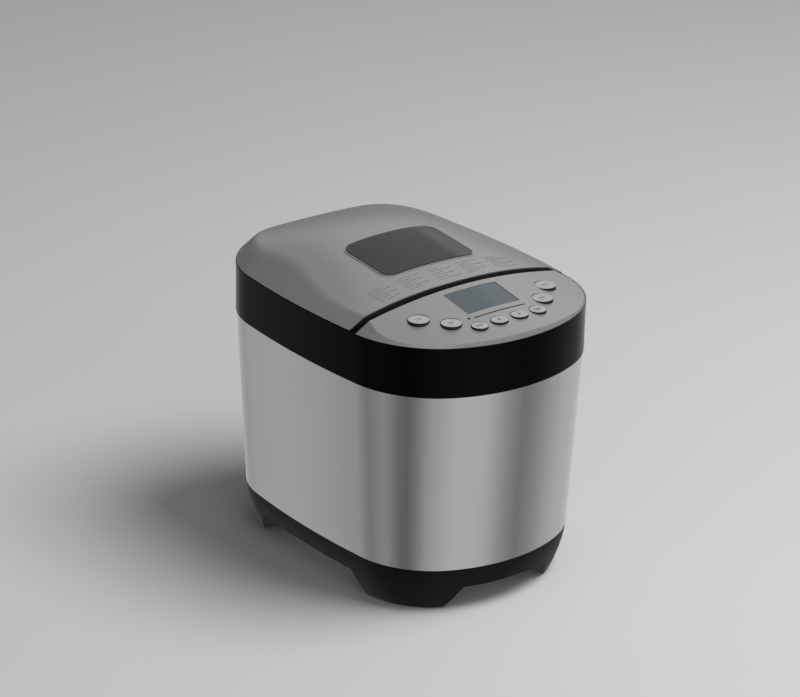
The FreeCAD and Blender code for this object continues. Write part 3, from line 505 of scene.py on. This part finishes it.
FINISH_OF_SLOT = {
    "wrap_steel": brushed_steel, "collar_black": gloss_black, "base_black": satin_black,
    "silver_paint": silver_paint, "button_silver": button_paint, "window_glass": smoked_glass,
    "inner_glass": inner_glass, "bright_trim": bright_trim, "display_lens": screen_glass,
    "black_moulding": black_moulding, "pad_rubber": pad_rubber, "silicone": silicone,
    "circuit_board": circuit_board, "plated_sheet": plated_sheet, "machine_steel": machine_steel,
    "heater_tube": heater_tube, "ceramic": ceramic, "bronze": bronze, "cast_alloy": cast_alloy,
    "nylon": nylon, "motor_case": motor_case, "nonstick": nonstick,
}


# ---- outlines and surfaces ----------------------------------------------------------------------------
def arc_radius(half, rise):
    return (half * half + rise * rise) / (2 * rise)


def circles_meet(a, radius_a, b, radius_b, towards_y):
    """Crossing of two circles that lies furthest towards +X and the given side in Y."""
    gap = b - a
    along = (radius_a ** 2 - radius_b ** 2 + gap.length_squared) / (2 * gap.length)
    across = math.sqrt(max(radius_a ** 2 - along ** 2, 0.0))
    unit = gap.normalized()
    side = Vector((-unit.y, unit.x))
    crossings = (a + unit * along + side * across, a + unit * along - side * across)
    return max(crossings, key=lambda p: p.y * towards_y + 0.5 * p.x)


def heading(centre, point):
    gap = point - centre
    return math.atan2(gap.y, gap.x)


@cache
def plan_arcs(name):
    """A plan's eight tangent arcs, anticlockwise from the front's left end: centre, radius, start, end."""
    plan = {"body": BODY_PLAN, "facet": FACET_PLAN}[name]
    half_y = (plan["rear"] - plan["front"]) / 2
    r_front = arc_radius(plan["half_x"], plan["front_rise"])
    r_rear = arc_radius(plan["half_x"], plan["rear_rise"])
    r_side = arc_radius(half_y, plan["side_rise"])
    front = Vector((0, plan["front"] + r_front))
    rear = Vector((0, plan["rear"] - r_rear))
    side = Vector((plan["half_x"] - r_side, (plan["front"] + plan["rear"]) / 2))
    corner_f = circles_meet(front, r_front - plan["front_r"], side, r_side - plan["front_r"], -1)
    corner_r = circles_meet(rear, r_rear - plan["rear_r"], side, r_side - plan["rear_r"], 1)
    a = heading(front, corner_f)
    b = heading(side, corner_f)
    c = heading(side, corner_r)
    d = heading(rear, corner_r)
    right = [(corner_f, plan["front_r"], a, b), (side, r_side, b, c), (corner_r, plan["rear_r"], c, d)]
    left = [(Vector((-o.x, o.y)), r, math.pi - q, math.pi - p) for o, r, p, q in reversed(right)]
    return [(front, r_front, -math.pi - a, a), *right, (rear, r_rear, d, math.pi - d), *left]


def draw_plan(bm, name, z, off=0.0):
    """Draws a plan outline as a closed ring: one vertex is spun about each arc's centre in turn."""
    steps = (ARC_STEPS[0], *ARC_STEPS[1:], ARC_STEPS[0], *reversed(ARC_STEPS[1:]))
    arcs = plan_arcs(name)
    centre, radius, start, _ = arcs[0]
    first = bm.verts.new((centre.x + (radius + off) * math.cos(start),
                          centre.y + (radius + off) * math.sin(start), z))
    ring = [first]
    for (centre, radius, start, end), count in zip(arcs, steps):
        for _ in range(count):
            made = bmesh.ops.spin(bm, geom=[ring[-1]], cent=(centre.x, centre.y, z), axis=(0, 0, 1),
                                  angle=(end - start) / count, steps=1, use_merge=False)
            ring.append(next(g for g in made["geom_last"] if isinstance(g, bmesh.types.BMVert)))
    last = ring.pop()
    bmesh.ops.weld_verts(bm, targetmap={last: first})
    return ring


def ring_edges(ring):
    return [a.link_edges[[e.other_vert(a) for e in a.link_edges].index(b)]
            for a, b in zip(ring, ring[1:] + ring[:1])]


def soften(bm, edges, radius, segments=3):
    bmesh.ops.bevel(bm, geom=list(edges), offset=radius, offset_type="OFFSET", segments=segments, profile=0.5,
                    affect="EDGES", material=-1, clamp_overlap=True)


def crest(y):
    """Height of the crown along the middle."""
    return crest_spline()(y)


@cache
def crest_spline():
    """Natural cubic through the crest's points."""
    ys = [p[0] for p in CREST]
    zs = [p[1] for p in CREST]
    count = len(ys)
    gaps = [b - a for a, b in zip(ys, ys[1:])]
    upper = [0.0] * count
    right = [0.0] * count
    for i in range(1, count - 1):
        pull = 6 * ((zs[i + 1] - zs[i]) / gaps[i] - (zs[i] - zs[i - 1]) / gaps[i - 1])
        pivot = 2 * (gaps[i - 1] + gaps[i]) - gaps[i - 1] * upper[i - 1]
        upper[i] = gaps[i] / pivot
        right[i] = (pull - gaps[i - 1] * right[i - 1]) / pivot
    bend = [0.0] * count
    for i in range(count - 2, 0, -1):
        bend[i] = right[i] - upper[i] * bend[i + 1]

    def height(y):
        i = min(max(sum(y > knot for knot in ys) - 1, 0), count - 2)
        a = (ys[i + 1] - y) / gaps[i]
        b = 1 - a
        curve = ((a ** 3 - a) * bend[i] + (b ** 3 - b) * bend[i + 1]) * gaps[i] ** 2 / 6
        return a * zs[i] + b * zs[i + 1] + curve

    return height


def lid_height(x, y):
    """The crown across: a power curve that runs on straight from where it gets as steep as the eaves."""
    rise = max(crest(y) - CREASE_Z, 0.004)
    steepest = EAVES_SLOPE * CREASE_HALF / (rise * CROWN_POWER)
    straight_from = CREASE_HALF * min(steepest ** (1 / (CROWN_POWER - 1)), 1.2)
    curved = min(abs(x), straight_from)
    drop = rise * (curved / CREASE_HALF) ** CROWN_POWER + (abs(x) - curved) * EAVES_SLOPE
    return crest(y) - drop


def panel_height(x, y):
    return crest(y) - x * x / (2 * PANEL_RADIUS)


# ---- pieces -------------------------------------------------------------------------------------------
def add_piece(name, bm, node, finishes=None, crisp=34.0, instead=True, wall=0.0):
    """Turns a bmesh into a piece that rides, is finished and stands for a node as the record says."""
    bmesh.ops.remove_doubles(bm, verts=bm.verts, dist=1e-6)
    if wall:
        bmesh.ops.dissolve_degenerate(bm, dist=1e-6, edges=bm.edges)
        bmesh.ops.recalc_face_normals(bm, faces=bm.faces)
    for face in bm.faces:
        face.smooth = True
    for edge in bm.edges:
        edge.smooth = not (edge.is_manifold and edge.calc_face_angle() > math.radians(crisp))
    mesh = bpy.data.meshes.new(name)
    bm.to_mesh(mesh)
    bm.free()
    piece = bpy.data.objects.new(name, mesh)
    bpy.context.scene.collection.objects.link(piece)
    for finish in finishes or [FINISH_OF_SLOT[SLOT_OF[node]]]:
        mesh.materials.append(finish())
    if wall:
        thick = piece.modifiers.new("Wall", "SOLIDIFY")
        thick.thickness = wall
        thick.offset = -1.0
        thick.use_even_offset = True
    weight = piece.modifiers.new("Weighted normals", "WEIGHTED_NORMAL")
    weight.keep_sharp = True
    if instead:
        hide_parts(node)
    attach(piece, BODY_OF[node])
    return piece


def refined(node, crisp=34.0, finishes=None, second=None):
    """A smooth copy of a node: loose triangles merged, flat areas joined, crisp edges kept.

    second(face) says which faces take the second finish.
    """
    bm = bmesh.new()
    bm.from_mesh(frame["nodes"][node].data)
    bmesh.ops.remove_doubles(bm, verts=bm.verts, dist=2e-6)
    bmesh.ops.dissolve_limit(bm, angle_limit=math.radians(0.15), verts=bm.verts, edges=bm.edges)
    for face in bm.faces:
        face.material_index = int(bool(second and second(face)))
    return add_piece(node + "_refined", bm, node, finishes, crisp)


def extend(bm, ring, places):
    """Carries a closed ring on to new places, with faces between, and returns the new ring."""
    made = bmesh.ops.extrude_edge_only(bm, edges=ring_edges(ring))
    fresh = {item for item in made["geom"] if isinstance(item, bmesh.types.BMVert)}
    carried = [next(e.other_vert(v) for e in v.link_edges if e.other_vert(v) in fresh) for v in ring]
    for vert, place in zip(carried, places):
        vert.co = place
    return carried


def edge_of_rectangle(centre, half, corner, towards):
    """Where the line from the centre towards a point crosses a rectangle with round corners."""
    way = (towards - centre).normalized()
    near, far = 0.0, half.length
    for _ in range(30):
        reach = (near + far) / 2
        out = Vector((abs(way.x * reach) - half.x + corner, abs(way.y * reach) - half.y + corner))
        beyond = Vector((max(out.x, 0), max(out.y, 0))).length + min(max(out.x, out.y), 0) - corner
        if beyond < 0:
            near = reach
        else:
            far = reach
    return centre + way * near


def meeting(low, high, height):
    """The point where the line from low to high goes through a crown."""
    near, far = 0.0, 1.0
    for _ in range(24):
        share = (near + far) / 2
        spot = low.lerp(high, share)
        if spot.z < height(spot.x, spot.y):
            near = share
        else:
            far = share
    return low.lerp(high, near)


def lower_of(a, b, width):
    """The lower of two heights, blended where they are within a width of each other."""
    share = max(width - abs(a - b), 0.0) / width
    return min(a, b) - share * share * width / 4


def crown_skin(bm, height, blend, centre, half, corner):
    """Outer skin of a crown: an upright land, the facet, the crease and the crown up to an opening."""
    outline = bmesh.new()
    high = [v.co.copy() for v in draw_plan(outline, "facet", FACET_TOP)]
    outline.free()
    land = draw_plan(bm, "body", LID_BOTTOM, -LAND_INSET)
    low = [v.co + Vector((0, 0, LAND_HEIGHT)) for v in land]
    crease = [meeting(p, q, height) for p, q in zip(low, high)]
    rim = []
    for spot in high:
        edge = edge_of_rectangle(centre, half, corner, spot.xy)
        rim.append(Vector((edge.x, edge.y, FACET_TOP + (spot.xy - edge).length * FACET_SLOPE)))
    ring = extend(bm, land, low)
    for start, end, steps in ((low, crease, 10), (crease, high, 12), (high, rim, 16)):
        for step in range(steps):
            places = [p.lerp(q, (step + 1) / steps) for p, q in zip(start, end)]
            for place in places:
                place.z = lower_of(place.z, height(place.x, place.y), blend(place.y))
            ring = extend(bm, ring, places)
    return ring_edges(ring)


def cut_front(bm, y):
    """Cuts off the skin in front of a plane across the body and returns the cut edges."""
    made = bmesh.ops.bisect_plane(bm, geom=[*bm.verts, *bm.edges, *bm.faces], dist=1e-7, plane_co=(0, y, 0),
                                  plane_no=(0, -1, 0), clear_outer=True)
    return [item for item in made["geom_cut"] if isinstance(item, bmesh.types.BMEdge)]


def drop_edges(bm, edges, place):
    """Extrudes edges and moves their new vertices to place(old); returns the new faces and edges."""
    made = bmesh.ops.extrude_edge_only(bm, edges=edges)["geom"]
    for item in made:
        if isinstance(item, bmesh.types.BMVert):
            item.co = place(item.co)
    faces = [item for item in made if isinstance(item, bmesh.types.BMFace)]
    fresh = {item for item in made if isinstance(item, bmesh.types.BMVert)}
    far = [item for item in made if isinstance(item, bmesh.types.BMEdge) and set(item.verts) <= fresh]
    return faces, far


def lid_shell():
    """Domed lid with a facet all round, a crease that softens towards the hinge and a front wall in black
    moulding: painted shade in the gap.
    """
    bm = bmesh.new()
    near, far = sizes().crease_near, sizes().crease_far

    def blend(y):
        share = min(max((y - GAP_REAR) / (FACET_PLAN["rear"] - GAP_REAR), 0.0), 1.0)
        return near + (far - near) * share ** 1.5

    opening = crown_skin(bm, lid_height, blend, Vector((0, WINDOW_Y)), WINDOW_HALF, WINDOW_CORNER)
    drop_edges(bm, opening, lambda co: co - Vector((0, 0, WINDOW_EDGE)))
    lip_edges = cut_front(bm, GAP_REAR)
    skin_edges = [e for e in lip_edges if min(v.co.z for v in e.verts) > LID_BOTTOM + 0.0001]
    _, low = drop_edges(bm, skin_edges, lambda co: Vector((co.x, co.y, max(co.z - LIP, LID_BOTTOM))))
    wall, _ = drop_edges(bm, low, lambda co: Vector((co.x, co.y, LID_BOTTOM)))
    # the front wall in the gap takes black moulding: painted shade where the lid's own wall stands in shadow
    for face in wall:
        face.material_index = 1
    soften(bm, [e for e in skin_edges if min(v.co.z for v in e.verts) > LID_BOTTOM + 4 * LIP], LIP / 3, 2)
    # second finish: black moulding on the front wall, painted shade in the gap
    return add_piece("lid_shell_skin", bm, "lid_shell", (silver_paint, black_moulding), 40.0, wall=SHELL)


def bar(bm, x, y, half_x, half_y, height, lift, segments=2):
    """A flat printed bar that follows a surface."""
    made = bmesh.ops.create_grid(bm, x_segments=segments, y_segments=1, size=1.0)
    for vert in made["verts"]:
        vert.co = Vector((x + vert.co.x * half_x, y + vert.co.y * half_y, 0))
        vert.co.z = height(vert.co.x, vert.co.y) + lift


def programme_print():
    """Five blocks of short grey strokes between the window and the gap, in place of a printed list."""
    bm = bmesh.new()
    for block, left in enumerate(PRINT_BLOCKS):
        for row in range(PRINT_ROWS):
            x = left
            y = PRINT_TOP - row * PRINT_STEP
            for stroke in range(2 + (block + row) % 2):
                length = STROKE_SHORT + STROKE_MORE * ((3 * block + 5 * row + 2 * stroke) % 4)
                bar(bm, x + length / 2, y, length / 2, PRINT_HALF, lid_height, PRINT_LIFT, 3)
                x += length + STROKE_GAP
    return add_piece("programme_strokes", bm, "lid_shell", (pale_print,), instead=False, wall=PRINT_LIFT)


def button_mark(node):
    """Generic print on a cap: an arrowhead on the two timer buttons, strokes on the others."""
    x, y = BUTTONS[node]
    top = panel_height(x, y) + CAP_PROUD
    bm = bmesh.new()
    if node.startswith("timer"):
        point = math.pi / 2 if "up" in node else -math.pi / 2
        made = bmesh.ops.create_circle(bm, cap_ends=True, segments=3, radius=ARROW_RADIUS)
        first = made["verts"][0].co
        turn = Matrix.Rotation(point - math.atan2(first.y, first.x), 4, "Z")
        bmesh.ops.transform(bm, matrix=Matrix.Translation((x, y, top + PRINT_LIFT)) @ turn, verts=bm.verts)
    else:
        for off_x, off_y, half in MARK_STROKES:
            bar(bm, x + off_x, y + off_y, half, MARK_HALF, lambda *_: top, PRINT_LIFT)
    return add_piece(node + "_mark", bm, node, (dark_print,), instead=False, wall=PRINT_LIFT)


class Build:
    bl_options = {"REGISTER", "UNDO"}


class BREAD_OT_wrap(Build, bpy.types.Operator):
    """Build the stainless wrap"""

    bl_idname = "bread.wrap"
    bl_label = "Steel wrap"

    def execute(self, context):
        refined("steel_wrap")
        return {"FINISHED"}


class BREAD_OT_casing(Build, bpy.types.Operator):
    """Build the collar, the base, its feet and the covers"""

    bl_idname = "bread.casing"
    bl_label = "Casing"

    def execute(self, context):
        for node in ("upper_collar", "base_shell", "gap_trim", "foot_pads", "bottom_cover", "cord_bush",
                     "case_screws"):
            refined(node)
        return {"FINISHED"}


class BREAD_OT_lid(Build, bpy.types.Operator):
    """Build the lid with its window, liner, seal and knuckles"""

    bl_idname = "bread.lid"
    bl_label = "Lid"

    def execute(self, context):
        lid_shell()
        for node in ("lid_window", "window_trim", "lid_liner", "inner_window", "lid_seal", "hinge_knuckles",
                     "hinge_pins"):
            refined(node)
        programme_print()
        return {"FINISHED"}


class BREAD_OT_panel(Build, bpy.types.Operator):
    """Build the control panel with its display, lamp and buttons"""

    bl_idname = "bread.panel"
    bl_label = "Control panel"

    def execute(self, context):
        refined("control_panel", crisp=12.0)
        for node in ("lcd_lens", "indicator_strip", "indicator_lamp"):
            refined(node)
        for node in BUTTONS:
            # cap side walls and edge rounds take black moulding: painted shade, the dark crescent under each
            # cap's lower edge
            refined(node, 50.0, (button_paint, black_moulding), lambda face: face.normal.z < 0.6)
            button_mark(node)
        return {"FINISHED"}


class BREAD_OT_chamber(Build, bpy.types.Operator):
    """Build the baking chamber and what stands in it"""

    bl_idname = "bread.chamber"
    bl_label = "Baking chamber"

    def execute(self, context):
        for node in ("chamber_liner", "heating_element", "element_bushes", "element_clips",
                     "temperature_sensor", "pan_seat", "drive_coupler"):
            refined(node)
        return {"FINISHED"}


class BREAD_OT_pan(Build, bpy.types.Operator):
    """Build the bread pan, its handle and the kneading paddle"""

    bl_idname = "bread.pan"
    bl_label = "Bread pan"

    def execute(self, context):
        for node in ("bread_pan", "pan_base_ring", "pan_shaft_seal", "pan_shaft", "kneading_paddle",
                     "handle_ears", "pan_handle"):
            refined(node)
        return {"FINISHED"}


class BREAD_OT_works(Build, bpy.types.Operator):
    """Finish the drive, the electrics and the frame inside the body"""

    bl_idname = "bread.works"
    bl_label = "Works inside"

    def execute(self, context):
        for node in ("lcd_module", "control_board", "tact_switches", "buzzer", "heat_shield", "chassis",
                     "shaft_housing", "bearing_bushes", "drive_shaft", "large_pulley", "drive_belt", "motor",
                     "motor_shaft", "motor_pulley", "motor_bracket", "motor_capacitor", "power_board"):
            refined(node)
        return {"FINISHED"}


# ---- studio -------------------------------------------------------------------------------------------
LOW_CARDS = (                 # studio walls as the upright sides see them: degrees round from +X, brightness
    (0, 0.95), (50, 1.0), (93, 0.66), (122, 0.86), (145, 0.50), (153, 0.38), (176, 0.60), (191, 0.34),
    (204, 0.22), (216, 0.42), (233, 0.76), (262, 1.0), (282, 1.0), (299, 0.58), (312, 0.34), (331, 0.62),
    (350, 0.92), (360, 0.95))
COOL_CARD = (299, 331)        # this stretch of wall is a little blue
HIGH_CARDS = (                # the same above the horizon, with one sharp edge
    (0, 0.60), (36, 0.66), (44, 1.0), (45.7, 1.04), (45.9, 0.66), (64, 0.66), (82, 0.04), (150, 0.05),
    (178, 0.40), (250, 0.80), (360, 0.60))
CARD_EDGE_HEIGHT = 0.397      # sine of the elevation at which the edge stands at its own azimuth
CARD_EDGE_LEAN = 0.0406       # turns that the edge leans back as that sine goes up by one
CAMERA_AIM = Vector((0, 0, 0.150))
CAMERA_AZIMUTH = math.radians(-38.165)
CAMERA_HEIGHT = math.radians(23.477)
CAMERA_AWAY = 3.0748
CAMERA_ROLL = math.radians(1.319)
LENS = 155.6
LENS_SHIFT = (-0.0110, 0.0480)
SENSOR = 36.0
KEY_LIGHT = ((0.9, -1.0, 2.6), 1.8, 72.0)       # place, size, power
FILL_LIGHT = ((-0.6, -2.4, 2.2), 2.0, 8.0)
LIGHT_AIM = (0, 0, 0.1)
FLOOR_HALF = 14.0
BACKDROP_GREY = 0.70
HORIZON_GREY = 0.22
CEILING_GREY = 0.26


def studio_world():
    """Soft surroundings: walls of pale and grey cards, a dim ceiling, a plain backdrop for the camera."""
    world = bpy.data.worlds.new("Studio")
    bpy.context.scene.world = world
    world.use_nodes = True
    n = Nodes(world.node_tree)
    ray = n.node("ShaderNodeTexCoord", output=0)
    parts = n.node("ShaderNodeSeparateXYZ", {}, {0: ray})
    x, y, z = (Value(n, parts.socket.node.outputs[k]) for k in range(3))
    turn = y.math("ARCTAN2", x) / math.tau
    share = turn.math("FRACT")
    low = n.ramp(share, *((az / 360, card_colour(az, b)) for az, b in LOW_CARDS))
    leaning = (share + (z - CARD_EDGE_HEIGHT) * CARD_EDGE_LEAN).math("FRACT")
    high = n.ramp(leaning, *((az / 360, (b, b, b)) for az, b in HIGH_CARDS))
    horizon = n.node("ShaderNodeMapRange", {"interpolation_type": "SMOOTHSTEP"},
                     {"Value": z, "From Min": -0.30, "From Max": -0.16})
    lifted = n.node("ShaderNodeMapRange", {"interpolation_type": "SMOOTHSTEP"},
                    {"Value": z, "From Min": 0.06, "From Max": 0.36})
    overhead = n.node("ShaderNodeMapRange", {"interpolation_type": "SMOOTHSTEP"},
                      {"Value": z, "From Min": 0.62, "From Max": 0.95})
    wall = n.mix(horizon, low, (HORIZON_GREY, HORIZON_GREY, HORIZON_GREY + 0.005))
    wall = n.mix(lifted, wall, high)
    wall = n.mix(overhead, wall, (CEILING_GREY,) * 3)
    seen = n.node("ShaderNodeLightPath")
    shown = n.mix(seen, wall, (BACKDROP_GREY,) * 3)
    back = n.node("ShaderNodeBackground", {}, {"Color": shown, "Strength": 0.62})
    n.node("ShaderNodeOutputWorld", {}, {"Surface": back})


def card_colour(azimuth, brightness):
    cool = COOL_CARD[0] < azimuth < COOL_CARD[1]
    return (brightness * (0.93 if cool else 1.0), brightness * (0.98 if cool else 1.0), brightness)


def studio_floor():
    bm = bmesh.new()
    bmesh.ops.create_grid(bm, x_segments=4, y_segments=4, size=FLOOR_HALF)
    mesh = bpy.data.meshes.new("Studio_floor")
    bm.to_mesh(mesh)
    bm.free()
    floor = bpy.data.objects.new("Studio_floor", mesh)
    bpy.context.scene.collection.objects.link(floor)
    material, n = new_finish("Studio floor")
    haze = n.noise(n.place(), 3.0)
    tint = colours().floor
    n.close(Base_Color=n.mix(haze, tint, scaled(tint, 0.985)), Roughness=0.9, Specular_IOR_Level=0.0)
    mesh.materials.append(material)
    floor.visible_glossy = False


def area_light(name, place, size, power):
    """A round lamp that lights surfaces and doesn't show in reflections."""
    light = bpy.data.lights.new(name, "AREA")
    light.shape = "DISK"
    light.size = size
    light.energy = power
    lamp = bpy.data.objects.new(name, light)
    lamp.location = place
    lamp.rotation_euler = (Vector(LIGHT_AIM) - Vector(place)).to_track_quat("-Z", "Y").to_euler()
    lamp.visible_glossy = False
    bpy.context.scene.collection.objects.link(lamp)


def studio_camera():
    data = bpy.data.cameras.new("Camera")
    data.sensor_width = SENSOR
    data.lens = LENS
    data.shift_x, data.shift_y = LENS_SHIFT
    data.clip_end = 60.0
    camera = bpy.data.objects.new("Camera", data)
    back = Vector((math.sin(CAMERA_AZIMUTH) * math.cos(CAMERA_HEIGHT),
                   -math.cos(CAMERA_AZIMUTH) * math.cos(CAMERA_HEIGHT), math.sin(CAMERA_HEIGHT)))
    right = (-back).cross(Vector((0, 0, 1))).normalized()
    up = right.cross(-back)
    rolled_right = right * math.cos(CAMERA_ROLL) + up * math.sin(CAMERA_ROLL)
    rolled_up = up * math.cos(CAMERA_ROLL) - right * math.sin(CAMERA_ROLL)
    turned = Matrix((rolled_right, rolled_up, back)).transposed()
    camera.matrix_world = Matrix.Translation(CAMERA_AIM + back * CAMERA_AWAY) @ turned.to_4x4()
    bpy.context.scene.collection.objects.link(camera)
    bpy.context.scene.camera = camera


class BREAD_OT_stage(Build, bpy.types.Operator):
    """Set up the floor, the soft lights, the surroundings and the camera"""

    bl_idname = "bread.stage"
    bl_label = "Studio"

    def execute(self, context):
        context.scene.view_settings.view_transform = "Standard"
        studio_floor()
        studio_world()
        area_light("Key_light", *KEY_LIGHT)
        area_light("Fill_light", *FILL_LIGHT)
        studio_camera()
        return {"FINISHED"}


STEPS = (BREAD_OT_wrap, BREAD_OT_casing, BREAD_OT_lid, BREAD_OT_panel, BREAD_OT_chamber, BREAD_OT_pan,
         BREAD_OT_works, BREAD_OT_stage)


class BREAD_PT_panel(bpy.types.Panel):
    """Lists the building steps with their sizes and colours"""

    bl_idname = "BREAD_PT_panel"
    bl_label = "Bread machine"
    bl_space_type = "VIEW_3D"
    bl_region_type = "UI"
    bl_category = "Bread machine"

    def draw(self, context):
        for group in (context.scene.bread_machine_sizes, context.scene.bread_machine_colours):
            for name in group.bl_rna.properties.keys():
                if name not in ("rna_type", "name"):
                    self.layout.prop(group, name)
        for step in STEPS:
            self.layout.operator(step.bl_idname)


CLASSES = (BreadMachineSizes, BreadMachineColours, *STEPS, BREAD_PT_panel)


def register():
    for each in CLASSES:
        bpy.utils.register_class(each)
    bpy.types.Scene.bread_machine_sizes = bpy.props.PointerProperty(type=BreadMachineSizes)
    bpy.types.Scene.bread_machine_colours = bpy.props.PointerProperty(type=BreadMachineColours)


def unregister():
    del bpy.types.Scene.bread_machine_colours
    del bpy.types.Scene.bread_machine_sizes
    for each in reversed(CLASSES):
        bpy.utils.unregister_class(each)


def main():
    register()
    bpy.ops.bread.wrap()
    bpy.ops.bread.casing()
    bpy.ops.bread.lid()
    bpy.ops.bread.panel()
    bpy.ops.bread.chamber()
    bpy.ops.bread.pan()
    bpy.ops.bread.works()
    bpy.ops.bread.stage()


if __name__ == "__main__":
    main()
